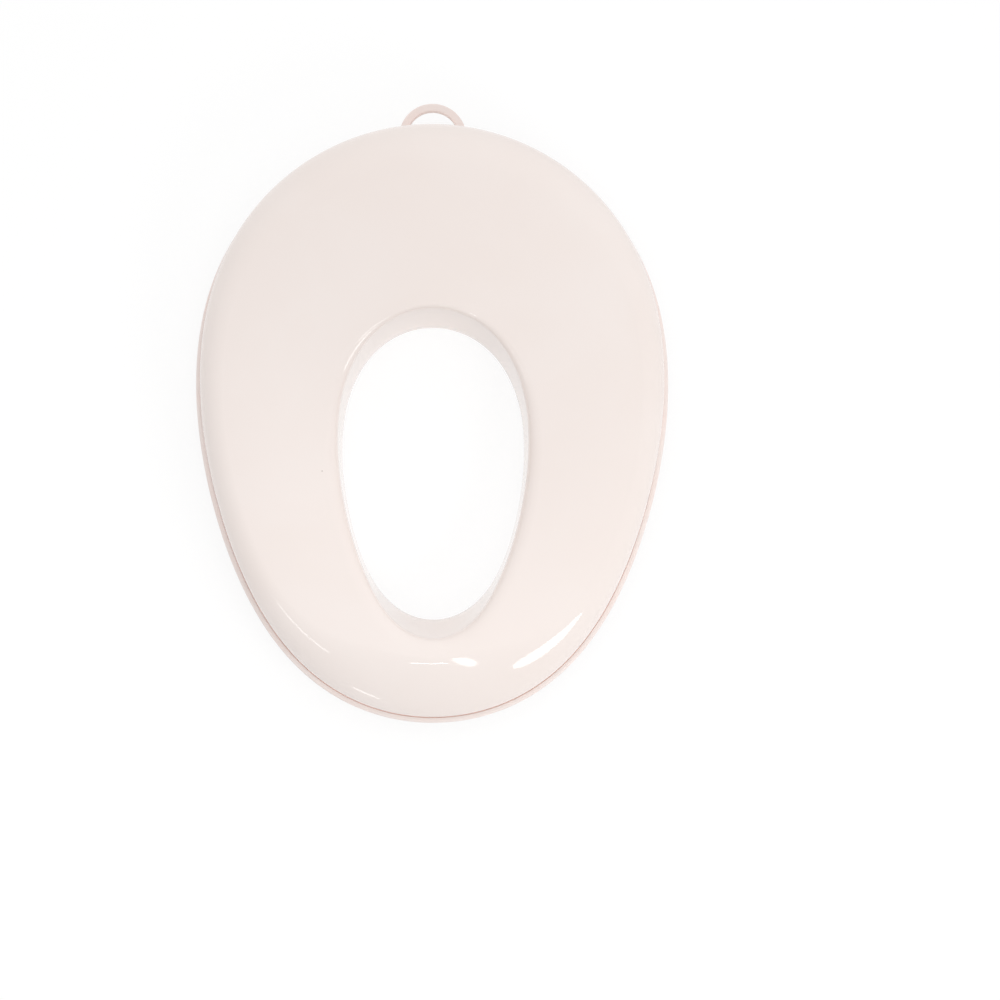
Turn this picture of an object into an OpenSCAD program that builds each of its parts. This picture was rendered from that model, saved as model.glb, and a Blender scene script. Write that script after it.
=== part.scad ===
// Training seat that lies on an adult toilet seat.
// A thin moulded shell with a raised rear and a splash guard at the front,
// and a soft non-slip rim with a hanging loop bonded round its lower edge.
// X is the width, -Y the front, +Z up. The skirt's flat lower edge lies at Z = 0.

/* [Outline] */
// Length of the rim without its loop
seat_l = 372; // [340:1:400]
// Width of the rim at half its length
seat_w = 292; // [265:1:315]
// How much wider the rear half is than the front half
seat_taper = 0.13; // [0.05:0.01:0.18]
// How square the ends are
seat_square = 0.08; // [0:0.01:0.12]
// How much of the width moves from the rear end towards the middle
seat_shift = -0.08; // [-0.12:0.01:0]

/* [Hole] */
// Length of the hole at the foot of the skirt
hole_l = 186; // [160:1:200]
// Width of the hole at half its length
hole_w = 114; // [100:1:125]
// How far the hole's front edge lies behind the rim's front edge, at the foot of the skirt
front_land = 64; // [58:1:70]
// How much wider the hole's rear half is than its front half
hole_taper = 0.14; // [0.05:0.01:0.2]
// How square the hole's ends are
hole_square = 0.11; // [0:0.01:0.15]
// How much of the hole's width moves from its rear end towards the middle
hole_shift = -0.06; // [-0.1:0.01:0]

/* [Shell] */
// Wall thickness of the moulding
wall = 2.4; // [1.8:0.1:3]
// Height of the crest above the rim at the front, on the splash guard
crest_front = 30; // [26:0.5:36]
// Height of the crest above the rim at the sides
crest_side = 25; // [22:0.5:28]
// Height of the crest above the rim at the rear
crest_rear = 42; // [36:0.5:48]
// Width of the outer roll at the sides
roll_w_side = 17; // [12:0.5:21]
// Width of the outer roll at the rear
roll_w_rear = 28; // [20:0.5:34]
// Height of the outer roll at the front
roll_h_front = 20; // [16:0.5:24]
// Height of the outer roll at the sides
roll_h_side = 15; // [11:0.5:18]
// Height of the outer roll at the rear
roll_h_rear = 17; // [13:0.5:22]
// How far the top sinks from the crest to the hole's edge at the sides
dish_side = 6; // [3:0.5:8]
// How far the top sinks from the crest to the hole's edge at the rear
dish_rear = 9; // [5:0.5:12]
// Width of the rounded hole edge at the front
edge_w_front = 9.6; // [7:0.1:11]
// Width of the rounded hole edge at the sides
edge_w_side = 9; // [5:0.5:11]
// Width of the rounded hole edge at the rear
edge_w_rear = 2.5; // [2:0.1:5]
// Height of the rounded hole edge at the front
edge_h_front = 4.5; // [3:0.5:8]
// Height of the rounded hole edge at the sides
edge_h_side = 7; // [4:0.5:9]
// Height of the rounded hole edge at the rear
edge_h_rear = 2.5; // [2:0.1:5]

/* [Splash guard] */
// How closely the splash guard keeps to the front end
guard_focus = 6; // [4:1:10]
// Fullness of the guard's outer slope: 2 is a quarter ellipse, 1 a straight slope
guard_fullness = 1.4; // [1.3:0.05:2]
// Width of the flat along the guard's ridge
guard_ridge = 1; // [0.5:0.5:3]

/* [Skirt] */
// How far the skirt reaches below the underside of the rim
skirt_drop = 18; // [12:0.5:25]
// Draft of the skirt at the front, in degrees
draft_front = 12.7; // [8:0.1:15]
// Draft of the skirt at the sides, in degrees
draft_side = 1.2; // [0.5:0.1:5]
// Draft of the skirt at the rear, in degrees
draft_rear = 2.4; // [1:0.1:5]

/* [Ribs] */
// Number of stiffening ribs under the top
rib_count = 12; // [8:2:16]
// Thickness of a rib where it joins the top
rib_root = 2; // [1.6:0.1:2.4]
// Thickness of a rib at its free edge
rib_tip = 1.2; // [1:0.1:1.6]
// How far a rib's ends run down the walls past the curves of the shell
rib_foot = 3; // [1:0.5:5]

/* [Rim] */
// Height of the soft rim
rim_h = 10; // [8:0.5:13]
// Width of the rim outside the shell
lip_w = 4.2; // [3.4:0.1:5]
// Thickness of the pad under the shell's edge
pad_h = 3; // [2:0.1:4]
// Thickness of the inner lip
inner_lip_w = 2.4; // [1.8:0.1:3]
// Height of the inner lip above the pad
inner_lip_h = 4; // [3:0.5:6]
// Radius of the rim's outer edges
rim_round = 1.5; // [1:0.1:1.6]
// Width of the shadow groove between the rim and the shell
groove_w = 0.9; // [0.6:0.1:1.2]
// Depth of the shadow groove
groove_d = 1.4; // [0.8:0.1:2]
// Depth of the two grip grooves under the pad
grip_d = 0.7; // [0.4:0.1:1]
// Clearance between the rim's channel and the shell's edge
fit = 0.1; // [0.05:0.05:0.2]

/* [Loop] */
// Outer radius of the hanging loop
loop_r = 21.2; // [18:0.1:24]
// Width of the loop's band
loop_band = 5.2; // [4:0.1:6]
// Height of the loop's band
loop_h = 4.2; // [3.4:0.1:6]
// How far the loop's centre lies inside the rim's rear end
loop_inset = 3.9; // [3:0.1:4.1]
// Radius of the band's edges
loop_round = 1; // [0.5:0.1:1.5]

/* [Hidden] */
stations = 72;
roll_steps = 6;
top_steps = 5;
edge_steps = 4;
round_steps = 2;
rim_z = skirt_drop;
rim_top = rim_z + rim_h;
edge_z = rim_z + pad_h + fit;
hole_forward = seat_l / 2 - front_land - hole_l / 2;
loop_out = loop_r - loop_inset;
seat_egg = [seat_l, seat_w, [seat_taper, seat_square, seat_shift]];
hole_egg = [hole_l, hole_w, [hole_taper, hole_square, hole_shift]];
shell_color = "#f7efeb";
rim_color = "#f6e6e1";

// A value that is given at the front, the sides and the rear, where s runs from
// -1 at the front to 1 at the rear: the parabola through the three
function along(front, side, rear, s) = side + (rear - front) / 2 * s
    + ((rear + front) / 2 - side) * s * s;

// Egg outline: an ellipse whose width is multiplied by a cubic in the sine of the angle
function swell(k, s) = 1 + k[0] * s + k[1] * s * s + k[2] * s * s * s;
function swell_rate(k, s) = k[0] + 2 * k[1] * s + 3 * k[2] * s * s;
function egg_point(egg, a) = [egg[1] / 2 * cos(a) * swell(egg[2], sin(a)), egg[0] / 2 * sin(a)];
function egg_tangent(egg, a) = [
    egg[1] / 2 * (cos(a) * cos(a) * swell_rate(egg[2], sin(a)) - sin(a) * swell(egg[2], sin(a))),
    egg[0] / 2 * cos(a)];
function unit(v) = v / norm(v);
function egg_normal(egg, a) = let (t = unit(egg_tangent(egg, a))) [t[1], -t[0]];

// Points at a height, set in from the rim's outline and set out from the hole's
function from_rim(a, inset, z) = let (p = egg_point(seat_egg, a) - inset * egg_normal(seat_egg, a))
    [p[0], p[1], z];
function from_hole(a, outset, z) = let (p = egg_point(hole_egg, a) + outset * egg_normal(hole_egg, a))
    [p[0], p[1] - hole_forward, z];

// The splash guard's share of the section: 1 at the front end, 0 from the sides backwards
function guard(s) = pow(max(0, -s), guard_focus);
function crest_z(s) = rim_top + along(crest_front, crest_side, crest_rear, s);
function roll_h(s) = along(roll_h_front, roll_h_side, roll_h_rear, s);
function rim_side_z(s) = crest_z(s) - roll_h(s);
function dish(s) = along(0, dish_side, dish_rear, s);
// The top sinks from the crest, where it is level, as a cubic that runs from 0 to 1
function sink(u) = u * u * (3 - u) / 2;
function sink_rate(u) = 3 * u * (2 - u) / 2;
function edge_w(s) = along(edge_w_front, edge_w_side, edge_w_rear, s);
function edge_h(s) = along(edge_h_front, edge_h_side, edge_h_rear, s);
function draft(s) = along(draft_side, draft_side, draft_rear, s) + guard(s) * (draft_front - draft_side);
function skirt_out(s, z) = z * tan(draft(s));

// Section of the shell's outer face at angle a: wall, roll, dished top, hole edge, skirt.
// The roll is a quarter of a superellipse, and at the splash guard it takes up the whole top
function wall_foot(a) = from_rim(a, lip_w, edge_z);
function top_end(a, s) = let (z = crest_z(s) - dish(s))
    from_hole(a, skirt_out(s, z) + edge_w(s), z);
function inward(a, s) = let (d = top_end(a, s) - wall_foot(a)) [d[0], d[1], 0];
function roll_w(a, s) = (1 - guard(s)) * along(roll_w_side, roll_w_side, roll_w_rear, s)
    + guard(s) * (norm(inward(a, s)) - guard_ridge);
function roll(a, s) = let (w = roll_w(a, s), power = 2 / (2 - guard(s) * (2 - guard_fullness)),
    dir = unit(inward(a, s)), p = from_rim(a, lip_w, rim_side_z(s)))
    [for (i = [0 : roll_steps]) let (q = 90 * i / roll_steps)
        p + w * (1 - pow(cos(q), power)) * dir + [0, 0, roll_h(s) * pow(sin(q), power)]];
function top_slope(s, from, to) = -sink_rate(1) * dish(s) / norm(to - from);
function top_span(s, from, to) = [for (i = [1 : top_steps]) let (u = i / top_steps)
    [from[0] + u * (to[0] - from[0]), from[1] + u * (to[1] - from[1]), from[2] - dish(s) * sink(u)]];
function hole_edge(a, s, slope) = let (p = top_end(a, s), z = p[2] + slope * edge_w(s),
    corner = from_hole(a, skirt_out(s, z), z),
    low = from_hole(a, skirt_out(s, z - edge_h(s)), z - edge_h(s)))
    [for (i = [1 : edge_steps]) let (u = i / edge_steps)
        (1 - u) * (1 - u) * p + 2 * u * (1 - u) * corner + u * u * low];
function outer_section(a) = let (s = sin(a), curve = roll(a, s), crest = curve[roll_steps],
    end = top_end(a, s), slope = top_slope(s, crest, end))
    concat([wall_foot(a)], curve, top_span(s, crest, end), hole_edge(a, s, slope), [from_hole(a, 0, 0)]);

// The grid of the outer face, and the same grid set in along its normals
function station_angle(i) = 360 * i / stations;
outer_grid = [for (i = [0 : stations - 1]) outer_section(station_angle(i))];
function grid_normal(g, i, j) = let (n = len(g), m = len(g[0]),
    across = g[(i + 1) % n][j] - g[(i + n - 1) % n][j],
    along_section = g[i][min(j + 1, m - 1)] - g[i][max(j - 1, 0)])
    unit(cross(across, along_section));
function inset_grid(g, depth) = [for (i = [0 : len(g) - 1]) [for (j = [0 : len(g[0]) - 1])
    let (p = g[i][j] - depth * grid_normal(g, i, j), last = len(g[0]) - 1)
    j == 0 ? [p[0], p[1], edge_z] : j == last ? [p[0], p[1], 0] : p]];

// A closed ring from one closed section per station
module ring_loft(sections) {
    n = len(sections);
    m = len(sections[0]);
    points = [for (section = sections) for (p = section) p];
    faces = [for (i = [0 : n - 1]) for (j = [0 : m - 1])
        let (p = i * m + j, q = i * m + (j + 1) % m, r = (i + 1) % n * m + j,
            t = (i + 1) % n * m + (j + 1) % m)
        for (f = [[p, r, q], [r, t, q]]) f];
    polyhedron(points, faces, convexity = 6);
}

function reversed(v) = [for (i = [len(v) - 1 : -1 : 0]) v[i]];

module thin_shell() {
    inner_grid = inset_grid(outer_grid, wall);
    ring_loft([for (i = [0 : stations - 1]) concat(inner_grid[i], reversed(outer_grid[i]))]);
}

// The space inside the middle of the wall, above a cone that joins the feet of the two walls
module rib_space() {
    mid_grid = inset_grid(outer_grid, wall / 2);
    ring_loft([for (row = mid_grid) reversed(row)]);
}

// A flat plate that stands across the ring at angle a, thinner at its free lower edge,
// which runs from the outer wall below the roll to the skirt below the hole's edge
module rib_plate(a) {
    s = sin(a);
    outer = from_rim(a, lip_w / 2, rim_side_z(s) - rib_foot);
    edge_foot_z = crest_z(s) - dish(s) - edge_h(s) - rib_foot;
    inner = from_hole(a, 0, edge_foot_z);
    reach = [outer[0] - inner[0], outer[1] - inner[1]];
    length = norm(reach);
    top = crest_z(s);
    translate([inner[0], inner[1], 0])
        rotate(atan2(reach[1], reach[0]))
            hull() {
                rib_edge(length, rib_tip, inner[2], outer[2]);
                rib_edge(length, rib_root, top, top);
            }
}

// A thin strip of a plate, level or sloping from one height to another
module rib_edge(length, thickness, z_inner, z_outer) {
    strip = 0.1;
    translate([0, thickness / 2, 0])
        rotate([90, 0, 0])
            linear_extrude(thickness)
                polygon([[0, z_inner], [length, z_outer], [length, z_outer + strip],
                    [0, z_inner + strip]]);
}

module ribs() {
    intersection() {
        rib_space();
        union()
            for (i = [0 : rib_count - 1])
                rib_plate(360 * (i + 0.5) / rib_count);
    }
}

// Section of the rim as inset and height, anticlockwise from its lower outer edge
function quarter(cx, cz, r, from) = [for (i = [0 : round_steps]) let (q = from + 90 * i / round_steps)
    [cx + r * cos(q), cz + r * sin(q)]];
channel_in = lip_w - fit;
channel_out = lip_w + wall + fit;
pad_in = channel_out + inner_lip_w;
// The pad's underside is five bands as wide as each other: flat, groove, flat, groove, flat
pad_bands = 5;
band_w = pad_in / pad_bands;
grip_slope = 0.3;
rim_section = concat(
    reversed(quarter(rim_round, rim_z + rim_round, rim_round, 180)),
    reversed(quarter(rim_round, rim_top - rim_round, rim_round, 90)),
    [[channel_in - groove_w, rim_top], [channel_in - groove_w, rim_top - groove_d],
     [channel_in, rim_top - groove_d], [channel_in, rim_z + pad_h],
     [channel_out, rim_z + pad_h], [channel_out, rim_z + pad_h + inner_lip_h],
     [pad_in, rim_z + pad_h + inner_lip_h], [pad_in, rim_z]],
    [for (i = [pad_bands - 1 : -2 : 2], c = [[0, 0], [-grip_slope, 1], [grip_slope - 1, 1], [-1, 0]])
        [(i + c[0]) * band_w, rim_z + c[1] * grip_d]]);

module soft_rim() {
    ring_loft([for (i = [0 : stations - 1]) reversed([for (p = rim_section)
        from_rim(station_angle(i), p[0], p[1])])]);
}

// Flat band with rounded edges, bent round to a loop that grows out of the rim's rear
// at half the rim's height
module hanging_loop() {
    side = loop_band - 2 * loop_round;
    translate([0, seat_l / 2 - loop_inset, rim_z + (rim_h - loop_h) / 2])
        rotate_extrude(angle = 180, $fn = 48)
            translate([loop_r - loop_band + loop_round, loop_round])
                offset(r = loop_round, $fn = 16)
                    square([side, loop_h - 2 * loop_round]);
}

// Everything is moved back so that the origin is at the middle of the whole length
module in_place() {
    translate([0, -loop_out / 2, 0]) children();
}

module seat_shell() {
    color(shell_color) in_place() {
        thin_shell();
        ribs();
    }
}

module grip_rim() {
    color(rim_color) in_place() {
        soft_rim();
        hanging_loop();
    }
}

seat_shell();
grip_rim();
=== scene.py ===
"""A training seat: a glossy moulded shell on a soft rim with a hanging loop, on a pale floor."""

import math

import bpy
import numpy as np
from mathutils import Matrix, Vector


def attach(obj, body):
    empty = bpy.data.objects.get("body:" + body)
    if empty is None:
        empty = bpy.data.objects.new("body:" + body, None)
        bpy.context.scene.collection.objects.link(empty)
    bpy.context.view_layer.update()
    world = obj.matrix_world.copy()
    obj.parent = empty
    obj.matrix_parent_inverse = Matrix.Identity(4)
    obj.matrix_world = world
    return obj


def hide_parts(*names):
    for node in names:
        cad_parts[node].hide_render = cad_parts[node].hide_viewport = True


bl_info = {
    "name": "Training seat",
    "version": (1, 0, 0),
    "blender": (4, 5, 0),
    "location": "View3D > Sidebar > Training seat",
    "description": "Makes the moulded shell, its ribs, the soft rim and the hanging loop",
    "category": "Add Mesh",
}

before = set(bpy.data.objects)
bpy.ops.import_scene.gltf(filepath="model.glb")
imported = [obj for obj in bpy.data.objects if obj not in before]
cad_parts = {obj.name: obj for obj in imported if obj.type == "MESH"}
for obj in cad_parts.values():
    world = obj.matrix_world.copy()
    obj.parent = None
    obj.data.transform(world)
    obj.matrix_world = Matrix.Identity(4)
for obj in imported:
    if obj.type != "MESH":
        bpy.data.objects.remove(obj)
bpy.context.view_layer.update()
BODY = "root"
PHOTO_SIDE = 1000

# The top sinks as u^2 (END_SLOPE - u / 2), so this is also how steeply it ends at u = 1.
END_SLOPE = 1.5
# The middle weight that makes a quadratic curve round a square corner part of a circle.
CIRCLE_WEIGHT = math.sqrt(0.5)
# A face is set in by at most this share of the radius of its bend.
BEND_SHARE = 0.9
LEAST_TURN = 1e-6
# Steps round each rounded corner of the skirt's foot.
FOOT_STEPS = 5
# Levels of a rib from its free edge up, the power that crowds them at that edge, and the least
# share of the edge's rounding, which keeps the edge from closing to a line.
RIB_LEVELS = 12
RIB_CROWDING = 3
RIB_LEAST = 0.1
# The rim's underside is this many equal bands. The bands that end at these are grip grooves.
GRIP_BANDS = 5
GRIP_ENDS = (4, 2)
# Sections round the hanging loop.
LOOP_STATIONS = 97

# Noise patterns: their scale is in swells to a metre.
CLOUDS = {"scale": 13.0, "detail": 3.0, "distortion": 0.6}
HAZE = {"scale": 80.0, "detail": 4.0}
RIPPLE = {"scale": 42.0, "detail": 1.0}
EROSION = {"scale": 2200.0}
PATCHES = {"scale": 55.0, "detail": 3.0}
GRAIN = {"scale": 2600.0}
# The values of a pattern that are stretched to 0 and 1.
CLOUD_ENDS = (0.35, 0.70)
HAZE_ENDS = (0.3, 0.8)
PATCH_ENDS = (0.3, 0.75)
# Depths of the bumps in metres.
RIPPLE_DEPTH = 0.00006
EROSION_DEPTH = 0.00005
PATCH_DEPTH = 0.00005
GRAIN_DEPTH = 0.00004
# How much the patterns move the roughness and the colour.
HAZE_ROUGHNESS = 0.02
PATCH_ROUGHNESS = 0.08
PATCH_PINK = 0.25
LOOP_PINK = 0.15
# How far the speck goes towards its colour, and the share of its radius that is fully dark.
SPECK_DARKNESS = 0.4
SPECK_CORE = 0.6
SHELL_IOR = 1.49
RIM_IOR = 1.47

# In millimetres, as the camera's lens is.
SENSOR_WIDTH = 36.0
CLIP_START = 0.01
WHITE = (1.0, 1.0, 1.0, 1.0)
FLOOR_GREY = (0.9, 0.9, 0.9, 1.0)
FLOOR_HALF = 4.0
LAMP_COLOUR = (1.0, 0.99, 0.98)
LAMP_AIM = (0.0, -0.02, 0.04)
# Each lamp's shape, lean from upright and azimuth in degrees, distance, two sides in metres,
# power in watts, and whether the gloss shows it.
LAMPS = {
    "key": ("ELLIPSE", 51.0, -49.0, 1.1, (0.48, 0.33), 2.6, True),
    "small": ("ELLIPSE", 29.0, -75.0, 1.2, (0.08, 0.35), 0.45, True),
    "left_strip": ("RECTANGLE", 47.0, -139.0, 1.2, (0.38, 0.06), 0.33, True),
    "fill": ("ELLIPSE", 76.0, -42.0, 1.3, (0.70, 0.50), 0.4, False),
    "front_strip": ("RECTANGLE", 31.0, -92.0, 1.2, (0.19, 0.02), 0.25, True),
    "over": ("ELLIPSE", 4.0, 90.0, 0.9, (0.50, 0.50), 0.8, False),
    "low_strip": ("RECTANGLE", 80.0, -110.0, 1.2, (0.18, 0.06), 0.15, True),
}
# The rays that see the white background. The rest only light the seat.
SIGHT_RAYS = ("Is Camera Ray", "Is Glossy Ray", "Is Transmission Ray")
# Sockets of the Mix node for colours, whose names aren't unique.
MIX_SHARE, MIX_FIRST, MIX_SECOND, MIX_RESULT = 0, 6, 7, 2


def length(name, description, default):
    """A length property in metres."""
    return bpy.props.FloatProperty(
        name=name,
        description=description,
        default=default,
        subtype="DISTANCE",
        unit="LENGTH",
        precision=4,
    )


def share(name, description, default):
    """A plain number property."""
    return bpy.props.FloatProperty(name=name, description=description, default=default, precision=3)


def degrees(name, description, default):
    """An angle property, given here in degrees and kept in radians."""
    return bpy.props.FloatProperty(
        name=name,
        description=description,
        default=math.radians(default),
        subtype="ANGLE",
        unit="ROTATION",
    )


def three_lengths(name, description, default):
    """Three lengths: at the front, at the sides and at the rear."""
    return bpy.props.FloatVectorProperty(
        name=name,
        description=description + ", at front, sides and rear",
        size=3,
        default=default,
        unit="LENGTH",
    )


def place(name, description, default):
    """A point in metres."""
    return bpy.props.FloatVectorProperty(
        name=name,
        description=description,
        size=3,
        default=default,
        subtype="XYZ",
        unit="LENGTH",
        precision=4,
    )


def colour(name, description, default):
    """A colour property, given here and kept as linear red, green and blue."""
    return bpy.props.FloatVectorProperty(
        name=name,
        description=description,
        size=3,
        default=default,
        subtype="COLOR",
        min=0.0,
        max=1.0,
    )


def count(name, description, default):
    """A whole-number property."""
    return bpy.props.IntProperty(name=name, description=description, default=default, min=1)


class OutlineSettings(bpy.types.PropertyGroup):
    """The egg outlines of the rim and the hole."""

    seat_length: length("Seat length", "Length of the rim without its loop", 0.372)
    seat_width: length("Seat width", "Width of the rim at half its length", 0.292)
    seat_taper: share("Seat taper", "How much wider the rear half is than the front half", 0.13)
    seat_square: share("Seat squareness", "How square the ends of the rim are", 0.08)
    seat_shift: share("Seat shift", "Width that moves from the rear end to the middle", -0.08)
    hole_length: length("Hole length", "Length of the hole at the foot of the skirt", 0.186)
    hole_width: length("Hole width", "Width of the hole at half its length", 0.114)
    front_land: length("Front land", "How far the hole's front lies behind the rim's front", 0.064)
    hole_taper: share("Hole taper", "How much wider the hole's rear half is", 0.14)
    hole_square: share("Hole squareness", "How square the hole's ends are", 0.11)
    hole_shift: share("Hole shift", "How much of the hole's width moves towards its middle", -0.06)
    stations: count("Stations", "Sections round the seat", 360)


class ShellSettings(bpy.types.PropertyGroup):
    """The section of the moulded shell and its ribs."""

    wall: length("Wall", "Wall thickness of the moulding", 0.0024)
    skirt_drop: length("Skirt drop", "How far the skirt reaches below the rim's underside", 0.018)
    crest: three_lengths("Crest", "Height of the crest above the rim", (0.030, 0.025, 0.042))
    roll_width: three_lengths("Roll width", "Width of the outer roll", (0.017, 0.017, 0.028))
    roll_height: three_lengths("Roll height", "Height of the outer roll", (0.020, 0.015, 0.017))
    dish: three_lengths("Dish", "How far the top sinks to the hole's edge", (0.0, 0.006, 0.009))
    edge_width: three_lengths("Edge width", "Width of the hole's edge", (0.0096, 0.009, 0.0025))
    edge_height: three_lengths("Edge height", "Height of the hole's edge", (0.0045, 0.007, 0.0025))
    guard_focus: share("Guard focus", "How closely the splash guard keeps to the front end", 6.0)
    guard_fullness: share("Guard fullness", "2 is a quarter ellipse, 1 a straight slope", 1.4)
    guard_ridge: length("Guard ridge", "Width of the flat along the guard's ridge", 0.001)
    draft_front: degrees("Front draft", "Draft of the skirt at the front", 12.7)
    draft_side: degrees("Side draft", "Draft of the skirt at the sides", 1.2)
    draft_rear: degrees("Rear draft", "Draft of the skirt at the rear", 2.4)
    foot_round: length("Foot rounding", "Radius of the skirt's lower edges", 0.0007)
    rib_count: count("Ribs", "Number of ribs under the top", 12)
    rib_root: length("Rib root", "Thickness of a rib where it joins the top", 0.002)
    rib_tip: length("Rib tip", "Thickness of a rib at its free edge", 0.0012)
    rib_foot: length("Rib foot", "How far a rib's ends run down the walls", 0.003)


class RimSettings(bpy.types.PropertyGroup):
    """The soft rim and its hanging loop."""

    height: length("Rim height", "Height of the soft rim", 0.010)
    lip: length("Lip", "Width of the rim outside the shell", 0.0042)
    pad: length("Pad", "Thickness of the pad under the shell's edge", 0.003)
    inner_lip: length("Inner lip", "Thickness of the inner lip", 0.0024)
    inner_lip_height: length("Inner lip height", "Height of the inner lip above the pad", 0.004)
    shy: length("Set-back", "How far the smooth outline lies inside the egg", 0.0001)
    rounding: length("Rim rounding", "Radius of the rim's outer edges", 0.0015)
    small_rounding: length("Small rounding", "Radius of the rim's other edges", 0.0002)
    groove_width: length("Groove width", "Width of the shadow groove next to the shell", 0.0009)
    groove_depth: length("Groove depth", "Depth of the shadow groove", 0.0009)
    grip_depth: length("Grip depth", "Depth of the two grip grooves under the pad", 0.0007)
    grip_slope: share("Grip slope", "Share of a grip groove's width in each of its slopes", 0.3)
    fit: length("Fit", "Clearance between the rim's channel and the shell", 0.0001)
    loop_radius: length("Loop radius", "Outer radius of the hanging loop", 0.0212)
    loop_band: length("Loop band", "Width of the loop's band", 0.0052)
    loop_height: length("Loop height", "Height of the loop's band", 0.0042)
    loop_inset: length("Loop inset", "How far the loop's centre lies inside the rim's end", 0.0039)
    loop_round: length("Loop rounding", "Radius of the band's edges", 0.001)


class FinishSettings(bpy.types.PropertyGroup):
    """Colours and gloss of the two plastics."""

    shell_colour: colour("Shell", "Colour of the glossy shell", (0.878, 0.800, 0.764))
    shell_tint: colour("Shell tint", "Tint in the shell's faint clouding", (0.866, 0.782, 0.742))
    speck_colour: colour("Speck", "Colour of the speck of dirt", (0.30, 0.22, 0.18))
    speck_place: place("Speck place", "Where the speck lies on the top", (-0.0678, -0.0407, 0.0471))
    speck_size: length("Speck size", "Radius of the speck", 0.0006)
    shell_roughness: share("Shell roughness", "Roughness of the polished face", 0.045)
    inside_roughness: share("Inside roughness", "Roughness added on the hollow underside", 0.30)
    rim_colour: colour("Rim", "Colour of the soft rim", (0.878, 0.803, 0.772))
    # Painted shade in the groove: its deeper pink stands for light bounced in the crevice between
    # rim and shell. The loop and the rim's faint patches use the same colour as their own tint.
    groove_shade_and_pink_tint: colour("Groove", "Deeper pink of the shadow groove", (0.95, 0.69, 0.62))
    rim_roughness: share("Rim roughness", "Roughness of the soft rim", 0.46)


class StageSettings(bpy.types.PropertyGroup):
    """Camera, lamps and floor."""

    distance: length("Distance", "Distance of the camera from the seat", 1.150)
    tilt: degrees("Tilt", "Lean of the camera towards the seat's front", 7.0)
    look: place("Look", "The point that the camera frames", (-0.00048, -0.00358, 0.035))
    photo_x: share("Picture column", "Column of that point in the picture", 432.6)
    photo_y: share("Picture row", "Row of that point in the picture", 413.0)
    picture_scale: length("Picture scale", "Size of one picture point at that distance", 0.00062)
    horizon: share("Horizon", "Strength of the even light from the sides", 0.64)
    zenith: share("Zenith", "Strength of the even light from above", 0.80)
    rearward: share("Rearward", "How much stronger the even light is from the rear", 0.42)
    floor_glow: share("Floor glow", "Share of plain white in the floor as the camera sees it", 0.80)
    floor_lift: share("Floor lift", "Light that comes up from the pale table", 0.16)


def triple_at(values, s):
    """The parabola in s through three values at s = -1, 0 and 1: front, sides and rear."""
    front, side, rear = values
    return side + (rear - front) / 2 * s + ((rear + front) / 2 - side) * s * s


def unit(vectors):
    """The vectors at length 1."""
    return vectors / np.linalg.norm(vectors, axis=-1, keepdims=True)


def egg(egg_length, egg_width, swell, angles, centre_y):
    """Points and outward normals of an egg. x = w/2 cos(a) f(sin a) and y = l/2 sin(a), where f is
    the cubic 1 + k0 s + k1 s^2 + k2 s^3, and the normal is the tangent turned a quarter turn."""
    s, c = np.sin(angles), np.cos(angles)
    k0, k1, k2 = swell
    fullness = 1 + k0 * s + k1 * s**2 + k2 * s**3
    rate = k0 + 2 * k1 * s + 3 * k2 * s**2
    points = np.stack([egg_width / 2 * c * fullness, egg_length / 2 * s + centre_y], -1)
    across = egg_width / 2 * (c * c * rate - s * fullness)
    tangents = unit(np.stack([across, egg_length / 2 * c], -1))
    return points, np.stack([tangents[:, 1], -tangents[:, 0]], -1)


def rim_middle_y():
    """Place of the rim's middle along Y: the origin is at the middle of rim and loop together."""
    rim = bpy.context.scene.seat_rim
    return -(rim.loop_radius - rim.loop_inset) / 2


def rim_egg(angles):
    """Points and normals of the rim's outer outline."""
    o = bpy.context.scene.seat_outline
    swell = (o.seat_taper, o.seat_square, o.seat_shift)
    return egg(o.seat_length, o.seat_width, swell, angles, rim_middle_y())


def hole_egg(angles):
    """Points and normals of the hole at the skirt's foot."""
    o = bpy.context.scene.seat_outline
    swell = (o.hole_taper, o.hole_square, o.hole_shift)
    centre_y = rim_middle_y() - o.seat_length / 2 + o.front_land + o.hole_length / 2
    return egg(o.hole_length, o.hole_width, swell, angles, centre_y)


def lift(points, normals, offsets, heights):
    """Points moved along plan normals by offsets and raised to heights, as (stations, k, 3)."""
    offsets, heights = np.broadcast_arrays(np.atleast_2d(offsets), heights)
    plan = points[:, None, :] + offsets[..., None] * normals[:, None, :]
    return np.concatenate([plan, np.broadcast_to(heights[..., None], (*plan.shape[:2], 1))], -1)


def steps(n, first=0):
    """Evenly spaced parameters first/n .. 1 as one row."""
    return np.arange(first, n + 1)[None, :] / n


def curve(a, corner, b, u, weight=1.0):
    """Points at u of the quadratic curve from a to b with its tangents' corner between them: the
    mean of a, corner and b with the shares (1 - u)^2, 2 w u (1 - u) and u^2."""
    shares = (1 - u) ** 2, 2 * weight * u * (1 - u), u**2
    return (shares[0] * a + shares[1] * corner + shares[2] * b) / sum(shares)


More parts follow.
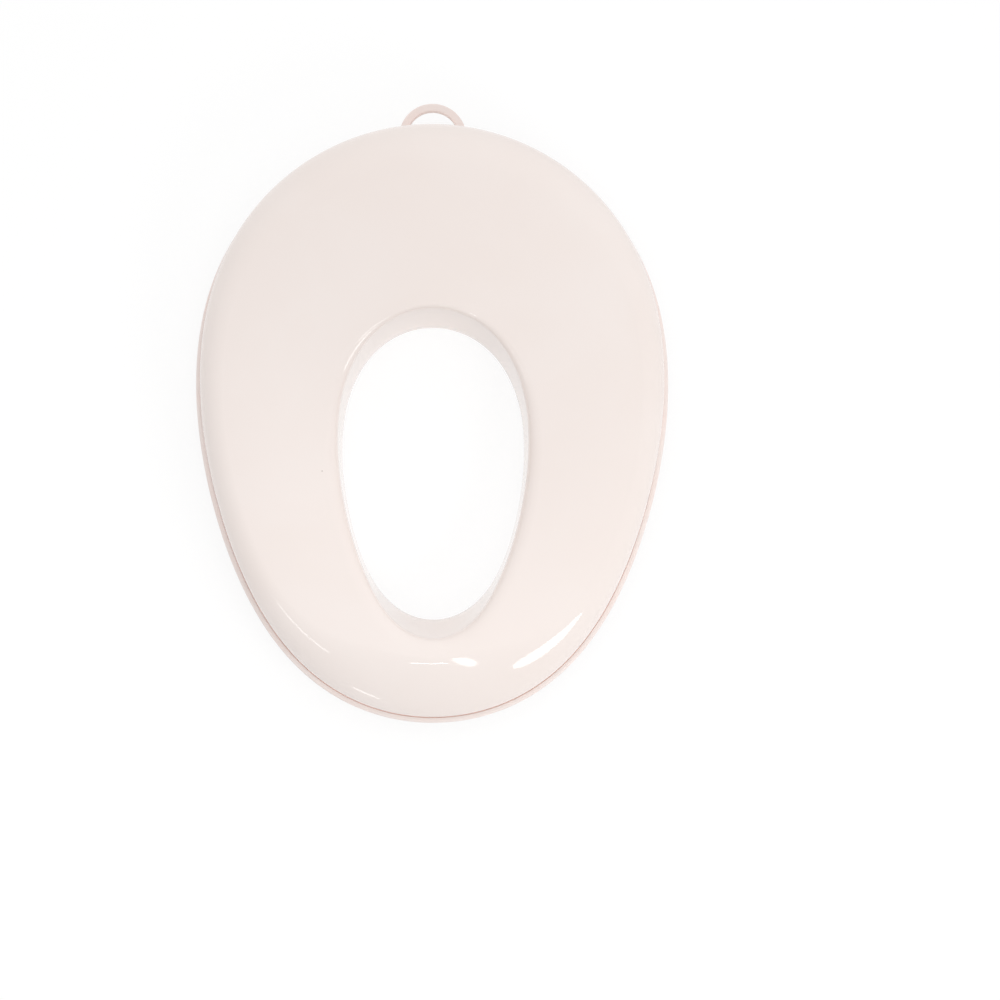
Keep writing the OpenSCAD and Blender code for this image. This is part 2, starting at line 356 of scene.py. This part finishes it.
def shell_levels(s):
    """Heights and widths of the section for the sine of the station angle. guard is the splash
    guard's share of the section: (-s) to a power, 1 at the front end and 0 from the sides back."""
    shell, rim = bpy.context.scene.seat_shell, bpy.context.scene.seat_rim
    guard = np.maximum(0, -s) ** shell.guard_focus
    crest = shell.skirt_drop + rim.height + triple_at(shell.crest, s)
    roll_height = triple_at(shell.roll_height, s)
    draft = triple_at((shell.draft_side, shell.draft_side, shell.draft_rear), s)
    return {
        "guard": guard,
        "foot": shell.skirt_drop + rim.pad + rim.fit,
        "crest": crest,
        "roll_width": triple_at(shell.roll_width, s),
        "roll_height": roll_height,
        "side": crest - roll_height,
        "dish": triple_at(shell.dish, s),
        "edge_width": triple_at(shell.edge_width, s),
        "edge_height": triple_at(shell.edge_height, s),
        "lean": np.tan(draft + guard * (shell.draft_front - shell.draft_side)),
    }


def outer_face(angles, wall_n=4, roll_n=24, top_n=22, edge_n=16, skirt_n=6):
    """Outer face of the shell, one section per station: an upright wall, a quarter of a
    superellipse that takes up the whole top at the splash guard, a cubic that sinks as
    u^2 (3 - u) / 2, a quadratic curve round the hole's edge with its corner on the skirt's line,
    and the straight leaning skirt."""
    shell, rim = bpy.context.scene.seat_shell, bpy.context.scene.seat_rim
    v = shell_levels(np.sin(angles)[:, None])
    rim_p, rim_n = rim_egg(angles)
    hole_p, hole_n = hole_egg(angles)
    t = steps(wall_n)[:, :-1]
    wall = lift(rim_p, rim_n, -rim.lip, v["foot"] + t * (v["side"] - v["foot"]))
    end_z = v["crest"] - v["dish"]
    end = lift(hole_p, hole_n, end_z * v["lean"] + v["edge_width"], end_z)
    inward = (end - wall[:, :1]) * (1, 1, 0)
    reach = np.linalg.norm(inward, axis=-1)
    width = (1 - v["guard"]) * v["roll_width"] + v["guard"] * (reach - shell.guard_ridge)
    power = 2 / (2 - v["guard"] * (2 - shell.guard_fullness))
    q = steps(roll_n) * np.pi / 2
    run = width * (1 - np.cos(q).clip(0) ** power)
    roll = wall[:, :1] + run[..., None] * unit(inward)
    roll[..., 2] = v["side"] + v["roll_height"] * np.sin(q) ** power
    start = roll[:, -1:]
    u = steps(top_n, 1)
    top = start + u[..., None] * (end - start)
    top[..., 2] = v["crest"] - v["dish"] * u * u * (END_SLOPE - u / 2)
    slope = -END_SLOPE * v["dish"] / np.linalg.norm(end - start, axis=-1)
    corner_z = end_z + slope * v["edge_width"]
    corner = lift(hole_p, hole_n, corner_z * v["lean"], corner_z)
    low_z = corner_z - v["edge_height"]
    low = lift(hole_p, hole_n, low_z * v["lean"], low_z)
    edge = curve(end, corner, low, steps(edge_n, 1)[..., None])
    skirt_z = low_z * (1 - steps(skirt_n, 1))
    skirt = lift(hole_p, hole_n, skirt_z * v["lean"], skirt_z)
    return np.concatenate([wall, roll, top, edge, skirt], 1)


def inset_face(outer, depth):
    """The outer face set in by a depth along its normals, which central differences give. Where the
    section bends more tightly than the depth, it is set in by less than the radius of the bend, so
    that it doesn't fold. Its two ends stay level."""
    across = np.roll(outer, -1, 0) - np.roll(outer, 1, 0)
    normals = unit(np.cross(across, np.gradient(outer, axis=1)))
    chords = np.linalg.norm(np.diff(outer, axis=1), axis=-1)
    turns = np.linalg.norm(np.diff(normals, axis=1), axis=-1)
    radii = chords / np.maximum(turns, LEAST_TURN)
    before = np.pad(radii, ((0, 0), (1, 0)), mode="edge")
    after = np.pad(radii, ((0, 0), (0, 1)), mode="edge")
    room = BEND_SHARE * np.minimum(before, after)
    inner = outer - np.minimum(depth, room)[..., None] * normals
    inner[:, 0, 2] = outer[:, 0, 2]
    inner[:, -1, 2] = 0
    return inner


def station_angles(n):
    """Angles of n stations round the seat."""
    return 2 * np.pi * np.arange(n) / n


def ring_faces(n, m):
    """Quads of a closed ring of n closed sections with m points each."""
    i, j = np.meshgrid(np.arange(n), np.arange(m), indexing="ij")
    i2, j2 = (i + 1) % n, (j + 1) % m
    return np.stack([i * m + j, i2 * m + j, i2 * m + j2, i * m + j2], -1).reshape(-1, 4)


def tube_faces(n, m):
    """Quads of a tube of n closed sections with m points each. Each end is closed by strips that
    join point j to point m - 1 - j."""
    sides = ring_faces(n, m)[: (n - 1) * m]
    j = np.arange(m // 2 - 1)
    cap = np.stack([j, j + 1, m - 2 - j, m - 1 - j], -1)
    return np.concatenate([sides, cap, cap[:, ::-1] + (n - 1) * m])


def turned_outwards(points, faces):
    """The quads in the order that makes the volume they enclose positive."""
    a, b, c, d = (points[faces[:, k]] for k in range(4))
    volume = np.einsum("ij,ij->", a, np.cross(b, c)) + np.einsum("ij,ij->", a, np.cross(c, d))
    return faces if volume > 0 else faces[:, ::-1]


def new_piece(name, points, faces, material, node, attribute=None):
    """An object at the origin from arrays of points and quads, riding on the seat, in the CAD
    node's place. attribute is a name and one value per point."""
    points = np.ascontiguousarray(points.reshape(-1, 3), dtype=np.float32)
    mesh = bpy.data.meshes.new(name)
    mesh.from_pydata(points, [], turned_outwards(points, faces).tolist())
    mesh.shade_smooth()
    mesh.materials.append(material)
    if attribute:
        own = mesh.attributes.new(attribute[0], "FLOAT", "POINT")
        own.data.foreach_set("value", attribute[1].astype(np.float32).ravel())
    mesh.update()
    piece = bpy.data.objects.new(name, mesh)
    bpy.context.scene.collection.objects.link(piece)
    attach(piece, BODY)
    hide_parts(node)
    return piece


def round_corners(corners, radii, n=5, hold=1.3):
    """A closed flat section with an arc at each corner. Arcs start and end one radius from the
    corner, and a point a little further out at each end keeps the flats flat."""
    corners = np.asarray(corners, float)[:, None, :]
    radii = np.asarray(radii, float)[:, None, None]
    a = corners + radii * unit(np.roll(corners, 1, 0) - corners)
    b = corners + radii * unit(np.roll(corners, -1, 0) - corners)
    arcs = curve(a, corners, b, steps(n)[0][:, None], CIRCLE_WEIGHT)
    held = [corners + hold * (a - corners), arcs, corners + hold * (b - corners)]
    return np.concatenate(held, 1).reshape(-1, 2)


class Socket:
    """Wraps an output socket, so that shader maths is written as Python expressions."""

    def __init__(self, graph, socket):
        self.graph = graph
        self.socket = socket

    def _math(self, operation, *values):
        return self.graph.node("ShaderNodeMath", {"operation": operation}, dict(enumerate(values)))

    def __add__(self, other):
        return self._math("ADD", self, other)

    def __radd__(self, other):
        return self._math("ADD", other, self)

    def __sub__(self, other):
        return self._math("SUBTRACT", self, other)

    def __rsub__(self, other):
        return self._math("SUBTRACT", other, self)

    def __mul__(self, other):
        return self._math("MULTIPLY", self, other)

    def __rmul__(self, other):
        return self._math("MULTIPLY", other, self)

    def above(self, low, high):
        """0 below low, 1 above high and a straight ramp between."""
        inputs = {"Value": self, "From Min": low, "From Max": high}
        return self.graph.node("ShaderNodeMapRange", {"clamp": True}, inputs)


class Graph:
    """A node tree that is built one node at a time."""

    def __init__(self, tree):
        self.tree = tree
        tree.nodes.clear()

    def node(self, kind, options=None, inputs=None, output=0):
        """Adds a node: its settings first, then the values or links of its sockets."""
        made = self.tree.nodes.new(kind)
        for key, value in (options or {}).items():
            setattr(made, key, value)
        for key, value in (inputs or {}).items():
            if isinstance(value, Socket):
                self.tree.links.new(value.socket, made.inputs[key])
            else:
                made.inputs[key].default_value = value
        return Socket(self, made.outputs[output]) if made.outputs else made

    def place(self):
        """Object coordinates, in metres from the seat's origin."""
        return self.node("ShaderNodeTexCoord", output="Object")

    def noise(self, scale, detail=2.0, distortion=0.0):
        """Noise of about that many swells to a metre, from 0 to 1."""
        inputs = {
            "Vector": self.place(),
            "Scale": scale,
            "Detail": detail,
            "Distortion": distortion,
        }
        return self.node("ShaderNodeTexNoise", {}, inputs)

    def attribute(self, name):
        """A piece's own attribute as a number."""
        return self.node("ShaderNodeAttribute", {"attribute_name": name}, output="Fac")

    def seen(self):
        """1 for the camera's rays, also in reflections and through clear things, or else 0."""
        rays = [self.node("ShaderNodeLightPath", output=k) for k in SIGHT_RAYS]
        return (rays[0] + rays[1] + rays[2]).above(0.0, 1.0)

    def mix(self, factor, a, b):
        """Mix of two colours."""
        inputs = {MIX_SHARE: factor, MIX_FIRST: rgba(a), MIX_SECOND: rgba(b)}
        return self.node("ShaderNodeMix", {"data_type": "RGBA"}, inputs, output=MIX_RESULT)

    def bump(self, height, depth, below=None):
        """A normal that the height, from 0 to 1, moves by at most that depth in metres."""
        inputs = {"Strength": 1.0, "Distance": depth, "Height": height}
        if below:
            inputs["Normal"] = below
        return self.node("ShaderNodeBump", {}, inputs)


def rgba(value):
    """A colour with full alpha, or the socket as it is."""
    return value if isinstance(value, Socket) else (*value, 1.0)


def material_of(name, paint, settings=None):
    """The material of that name. If it is new, it is painted from the settings, or from the
    finish settings where none are given."""
    material = bpy.data.materials.get(name)
    if material is None:
        material = bpy.data.materials.new(name)
        material.use_nodes = True
        g = Graph(material.node_tree)
        surface = paint(g, settings or bpy.context.scene.seat_finish)
        g.node("ShaderNodeOutputMaterial", {}, {"Surface": surface})
    return material


def gloss_shell(g, finish):
    """Polished moulded plastic: faint warm clouding, one speck of dirt, a slight ripple in the
    gloss and a matt, finely eroded face on the hollow underside."""
    ends = {0: g.place(), 1: tuple(finish.speck_place)}
    away = g.node("ShaderNodeVectorMath", {"operation": "DISTANCE"}, ends, output="Value")
    speck = 1.0 - away.above(finish.speck_size * SPECK_CORE, finish.speck_size)
    clouds = g.noise(**CLOUDS).above(*CLOUD_ENDS)
    haze = g.noise(**HAZE).above(*HAZE_ENDS)
    inside = g.attribute("inside")
    tint = g.mix(clouds, finish.shell_colour, finish.shell_tint)
    ripple = g.bump(g.noise(**RIPPLE), RIPPLE_DEPTH)
    matt = inside * finish.inside_roughness
    return g.node(
        "ShaderNodeBsdfPrincipled",
        {},
        {
            "Base Color": g.mix(speck * SPECK_DARKNESS, tint, finish.speck_colour),
            "Roughness": finish.shell_roughness + haze * HAZE_ROUGHNESS + matt,
            "IOR": SHELL_IOR,
            "Normal": g.bump(g.noise(**EROSION) * inside, EROSION_DEPTH, ripple),
        },
    )


def soft_rim(g, finish):
    """Soft-touch rubber: satin, finely grained and faintly cloudy. The shadow groove is painted a
    deeper pink as painted shade, the tint of light bounced in the crevice; the loop is a little
    pinker, its own tint. The piece's own attribute says where."""
    patches = g.noise(**PATCHES)
    cloudy = g.mix(patches.above(*PATCH_ENDS) * PATCH_PINK, finish.rim_colour, finish.groove_shade_and_pink_tint)
    uneven = g.bump(patches, PATCH_DEPTH)
    return g.node(
        "ShaderNodeBsdfPrincipled",
        {},
        {
            # Painted shade: the pink attribute is 1 down in the groove, painting the crevice's
            # bounced shade; on the loop it is the loop's own tint.
            "Base Color": g.mix(g.attribute("pink"), cloudy, finish.groove_shade_and_pink_tint),
            "Roughness": finish.rim_roughness + patches * PATCH_ROUGHNESS,
            "IOR": RIM_IOR,
            "Normal": g.bump(g.noise(**GRAIN), GRAIN_DEPTH, uneven),
        },
    )


def rib_section(angle, path):
    """One rib at a station angle, up to a path of points along the shell's wall, as an array of
    (columns, points up one side and down the other, 3). Its free edge is a straight line from the
    outer wall to the skirt. A column rises from it to the path by the cube of its share of the
    levels. Its half thickness grows evenly with height from tip to root, and the free edge is
    rounded by the root of 1 - (1 - depth)^2."""
    shell, rim = bpy.context.scene.seat_shell, bpy.context.scene.seat_rim
    a = np.array([angle])
    v = {key: np.ravel(value)[0] for key, value in shell_levels(np.sin(a)[:, None]).items()}
    rim_p, rim_n = rim_egg(a)
    hole_p, _ = hole_egg(a)
    outside = np.append(rim_p - rim.lip / 2 * rim_n, v["side"] - shell.rib_foot)
    hollow_z = v["crest"] - v["dish"] - v["edge_height"] - shell.rib_foot
    inside = np.append(hole_p, hollow_z)
    run = (outside - inside) * (1, 1, 0)
    reach = np.linalg.norm(run)

    def free_edge(along):
        """Height of the free edge at a distance from the skirt."""
        return inside[2] + (outside[2] - inside[2]) * along / reach

    along = (path - inside) @ run / reach
    kept = path[:, 2] > free_edge(along) + shell.rib_tip / 2
    top = np.stack([along, path[:, 2]], -1)[kept]
    walked = np.append(0, np.cumsum(np.linalg.norm(np.diff(top, axis=0), axis=-1)))
    first, last = top[[0, -1], 0]
    foot_along = first + (last - first) * walked / walked[-1]
    foot = np.stack([foot_along, free_edge(foot_along)], -1)
    h = (steps(RIB_LEVELS)[0] ** RIB_CROWDING)[None, :, None]
    side = foot[:, None] + (top - foot)[:, None] * h
    height = side[..., 1] - free_edge(side[..., 0])
    share_up = height / (v["crest"] - free_edge(side[..., 0]))
    half = (shell.rib_tip + (shell.rib_root - shell.rib_tip) * share_up) / 2
    depth = (height / shell.rib_tip * 2).clip(RIB_LEAST, 1)
    half = half * np.sqrt(1 - (1 - depth) ** 2)
    plate = inside + side[..., :1] * run / reach
    plate[..., 2] = side[..., 1]
    across = half[..., None] * np.array([-run[1], run[0], 0]) / reach
    return np.concatenate([plate - across, (plate + across)[:, ::-1]], 1)


class SEAT_OT_shell(bpy.types.Operator):
    """Makes the moulded shell: outer face, inner face a wall inside it, and a rounded skirt foot"""

    bl_idname = "seat.shell"
    bl_label = "Moulded shell"

    def execute(self, context):
        shell = context.scene.seat_shell
        outer = outer_face(station_angles(context.scene.seat_outline.stations))
        inner = inset_face(outer, shell.wall)
        foot = []
        for before, corner, after in (
            (inner[:, -2:-1], inner[:, -1:], outer[:, -1:]),
            (inner[:, -1:], outer[:, -1:], outer[:, -2:-1]),
        ):
            a = corner + shell.foot_round * unit(before - corner)
            b = corner + shell.foot_round * unit(after - corner)
            foot.append(curve(a, corner, b, steps(FOOT_STEPS)[..., None], CIRCLE_WEIGHT))
        section = np.concatenate([inner[:, :-1], *foot, outer[:, -2::-1]], 1)
        inside = np.zeros(section.shape[:2])
        inside[:, : inner.shape[1] - 1] = 1
        faces = ring_faces(*section.shape[:2])
        gloss = material_of("gloss_shell", gloss_shell)
        own = ("inside", inside)
        new_piece("moulded_shell", section, faces, gloss, "seat_shell", own)
        return {"FINISHED"}


class SEAT_OT_ribs(bpy.types.Operator):
    """Makes the ribs: plates across the hollow, up to the middle of the shell's wall"""

    bl_idname = "seat.ribs"
    bl_label = "Stiffening ribs"

    def execute(self, context):
        shell, n = context.scene.seat_shell, context.scene.seat_outline.stations
        angles = station_angles(n)
        middle = inset_face(outer_face(angles), shell.wall / 2)
        sections, faces, total = [], [], 0
        for station in ((np.arange(shell.rib_count) + 0.5) / shell.rib_count * n).astype(int):
            section = rib_section(angles[station], middle[station])
            sections.append(section.reshape(-1, 3))
            faces.append(tube_faces(*section.shape[:2]) + total)
            total += len(sections[-1])
        points, faces = np.concatenate(sections), np.concatenate(faces)
        gloss = material_of("gloss_shell", gloss_shell)
        own = ("inside", np.ones(len(points)))
        new_piece("stiffening_ribs", points, faces, gloss, "seat_shell", own)
        return {"FINISHED"}


class SEAT_OT_rim(bpy.types.Operator):
    """Makes the soft rim: the shell's channel, a shadow groove beside it, grip grooves below"""

    bl_idname = "seat.rim"
    bl_label = "Soft rim"

    def execute(self, context):
        shell, rim = context.scene.seat_shell, context.scene.seat_rim
        low, high = shell.skirt_drop, shell.skirt_drop + rim.height
        channel = rim.lip - rim.fit
        far = rim.lip + shell.wall + rim.fit
        end = far + rim.inner_lip
        seat = low + rim.pad
        ledge = high - rim.groove_depth
        corners = [
            (rim.shy, low),
            (rim.shy, high),
            (channel - rim.groove_width, high),
            (channel - rim.groove_width, ledge),
            (channel, ledge),
            (channel, seat),
            (far, seat),
            (far, seat + rim.inner_lip_height),
            (end, seat + rim.inner_lip_height),
            (end, low),
        ]
        radii = [rim.rounding, rim.rounding] + [rim.small_rounding] * 8
        band = end / GRIP_BANDS
        for i in GRIP_ENDS:
            for across, up in ((0, 0), (-rim.grip_slope, 1), (rim.grip_slope - 1, 1), (-1, 0)):
                corners.append(((i + across) * band, low + up * rim.grip_depth))
                radii.append(rim.small_rounding)
        outline = round_corners(corners, radii)
        rim_p, rim_n = rim_egg(station_angles(context.scene.seat_outline.stations))
        section = lift(rim_p, rim_n, -outline[None, :, 0], outline[None, :, 1])
        # Painted shade: points down in the shadow groove get the deeper pink by how deep they lie.
        in_groove = (outline[:, 0] > channel - rim.groove_width) & (outline[:, 0] < far)
        groove_shade_mask = ((high - outline[:, 1]) / rim.groove_depth).clip(0, 1) * in_groove
        faces = ring_faces(*section.shape[:2])
        soft = material_of("soft_rim", soft_rim)
        own = ("pink", np.broadcast_to(groove_shade_mask, section.shape[:2]))
        new_piece("soft_rim", section, faces, soft, "grip_rim", own)
        return {"FINISHED"}


class SEAT_OT_loop(bpy.types.Operator):
    """Makes the hanging loop: a flat band with rounded edges, bent to half a circle"""

    bl_idname = "seat.loop"
    bl_label = "Hanging loop"

    def execute(self, context):
        shell, rim = context.scene.seat_shell, context.scene.seat_rim
        inner, outer = rim.loop_radius - rim.loop_band, rim.loop_radius
        low = shell.skirt_drop + (rim.height - rim.loop_height) / 2
        high = low + rim.loop_height
        corners = [(inner, low), (outer, low), (outer, high), (inner, high)]
        band = round_corners(corners, [rim.loop_round] * 4)
        turn = np.linspace(0, np.pi, LOOP_STATIONS)[:, None]
        centre_y = rim_middle_y() + context.scene.seat_outline.seat_length / 2 - rim.loop_inset
        x, y = band[None, :, 0] * np.cos(turn), centre_y + band[None, :, 0] * np.sin(turn)
        section = np.stack([x, y, np.broadcast_to(band[None, :, 1], x.shape)], -1)
        faces = tube_faces(*section.shape[:2])
        soft = material_of("soft_rim", soft_rim)
        own = ("pink", np.full(section.shape[:2], LOOP_PINK))
        new_piece("hanging_loop", section, faces, soft, "grip_rim", own)
        return {"FINISHED"}


def camera_matrix(stage):
    """Camera placed over the seat and turned so that the framed point lands on its place."""
    focal = stage.distance / stage.picture_scale
    away = Vector((0.0, -math.sin(stage.tilt), math.cos(stage.tilt)))
    right = Vector((1.0, 0.0, 0.0))
    basis = Matrix((right, away.cross(right), away)).transposed()
    yaw = math.atan((stage.photo_x - PHOTO_SIDE / 2) / focal)
    pitch = -math.atan((PHOTO_SIDE / 2 - stage.photo_y) / focal)
    turn = Matrix.Rotation(yaw, 3, "Y") @ Matrix.Rotation(pitch, 3, "X")
    return Matrix.Translation(Vector(stage.look) + stage.distance * away) @ (basis @ turn).to_4x4()


def add_camera(stage):
    """The camera at the photograph's viewing angle."""
    scene = bpy.context.scene
    data = bpy.data.cameras.new("camera")
    data.sensor_width = SENSOR_WIDTH
    data.lens = SENSOR_WIDTH * stage.distance / stage.picture_scale / PHOTO_SIDE
    data.clip_start = CLIP_START
    camera = bpy.data.objects.new("camera", data)
    scene.collection.objects.link(camera)
    camera.matrix_world = camera_matrix(stage)
    scene.camera = camera


def add_lamp(name, shape, lean, azimuth, distance, sides, watts, mirrored):
    """A soft box that is turned towards the seat, with its first side level. Its direction is
    (sin lean cos azimuth, sin lean sin azimuth, cos lean)."""
    lean, azimuth = math.radians(lean), math.radians(azimuth)
    level = math.sin(lean)
    towards = Vector((level * math.cos(azimuth), level * math.sin(azimuth), math.cos(lean)))
    data = bpy.data.lights.new(name, "AREA")
    data.shape = shape
    data.size, data.size_y = sides
    data.energy = watts
    data.color = LAMP_COLOUR
    box = bpy.data.objects.new(name, data)
    bpy.context.scene.collection.objects.link(box)
    box.location = Vector(LAMP_AIM) + distance * towards
    box.rotation_euler = (-towards).to_track_quat("-Z", "Y").to_euler()
    box.visible_camera = False
    box.visible_glossy = mirrored


def add_world(stage):
    """Even light: it grows from the horizon to the zenith and from the front to the rear, and is
    plain white where it is seen."""
    world = bpy.data.worlds.new("studio")
    bpy.context.scene.world = world
    world.use_nodes = True
    g = Graph(world.node_tree)
    ray = g.node("ShaderNodeTexCoord", output="Generated")
    along, up = (g.node("ShaderNodeSeparateXYZ", {}, {0: ray}, output=axis) for axis in "YZ")
    height = up.above(0.0, 1.0) * (stage.zenith - stage.horizon)
    seen = g.seen()
    strength = (stage.horizon + height + along * stage.rearward) * (1.0 - seen) + seen
    light = g.node("ShaderNodeBackground", {}, {"Color": WHITE, "Strength": strength})
    g.node("ShaderNodeOutputWorld", {}, {"Surface": light})


def pale_floor(g, stage):
    """A pale diffuse table that gives back a little light, is whiter where it is seen, so that only
    the seat's shadow stays, and is clear from below."""
    white = g.node("ShaderNodeEmission", {}, {"Color": WHITE, "Strength": 1.0})
    lifted = g.node("ShaderNodeEmission", {}, {"Color": WHITE, "Strength": stage.floor_lift})
    plain = g.node("ShaderNodeBsdfDiffuse", {}, {"Color": FLOOR_GREY})
    table = g.node("ShaderNodeAddShader", {}, {0: plain, 1: lifted})
    glow = {0: g.seen() * stage.floor_glow, 1: table, 2: white}
    from_above = g.node("ShaderNodeMixShader", {}, glow)
    from_below = g.node("ShaderNodeNewGeometry", output="Backfacing")
    clear = g.node("ShaderNodeBsdfTransparent")
    return g.node("ShaderNodeMixShader", {}, {0: from_below, 1: from_above, 2: clear})


def add_floor():
    """The floor: a level square at z = 0."""
    half = FLOOR_HALF
    corners = [(-half, -half, 0), (half, -half, 0), (half, half, 0), (-half, half, 0)]
    mesh = bpy.data.meshes.new("floor")
    mesh.from_pydata(corners, [], [(0, 1, 2, 3)])
    mesh.materials.append(material_of("pale_floor", pale_floor, bpy.context.scene.seat_stage))
    floor = bpy.data.objects.new("floor", mesh)
    bpy.context.scene.collection.objects.link(floor)


class SEAT_OT_stage(bpy.types.Operator):
    """Makes the pale floor, the soft lamps, the even world light and the camera"""

    bl_idname = "seat.stage"
    bl_label = "Studio"

    def execute(self, context):
        stage = context.scene.seat_stage
        context.scene.view_settings.view_transform = "Standard"
        add_camera(stage)
        add_world(stage)
        for name, lamp in LAMPS.items():
            add_lamp(name, *lamp)
        add_floor()
        return {"FINISHED"}


class SEAT_PT_panel(bpy.types.Panel):
    """Lists the makers of the seat's pieces"""

    bl_idname = "SEAT_PT_panel"
    bl_label = "Training seat"
    bl_space_type = "VIEW_3D"
    bl_region_type = "UI"
    bl_category = "Training seat"

    def draw(self, context):
        for maker in MAKERS:
            self.layout.operator(maker.bl_idname)


MAKERS = (SEAT_OT_stage, SEAT_OT_shell, SEAT_OT_ribs, SEAT_OT_rim, SEAT_OT_loop)
GROUPS = {
    "seat_outline": OutlineSettings,
    "seat_shell": ShellSettings,
    "seat_rim": RimSettings,
    "seat_finish": FinishSettings,
    "seat_stage": StageSettings,
}
CLASSES = (*GROUPS.values(), *MAKERS, SEAT_PT_panel)


def register():
    """Registers the classes and hangs the settings on the scene."""
    for item in CLASSES:
        bpy.utils.register_class(item)
    for name, group in GROUPS.items():
        setattr(bpy.types.Scene, name, bpy.props.PointerProperty(type=group))


def unregister():
    """Takes the settings and the classes away again."""
    for name in GROUPS:
        delattr(bpy.types.Scene, name)
    for item in reversed(CLASSES):
        bpy.utils.unregister_class(item)


def main():
    """Makes the seat and its studio."""
    register()
    for maker in MAKERS:
        group, name = maker.bl_idname.split(".")
        getattr(getattr(bpy.ops, group), name)()


if __name__ == "__main__":
    main()
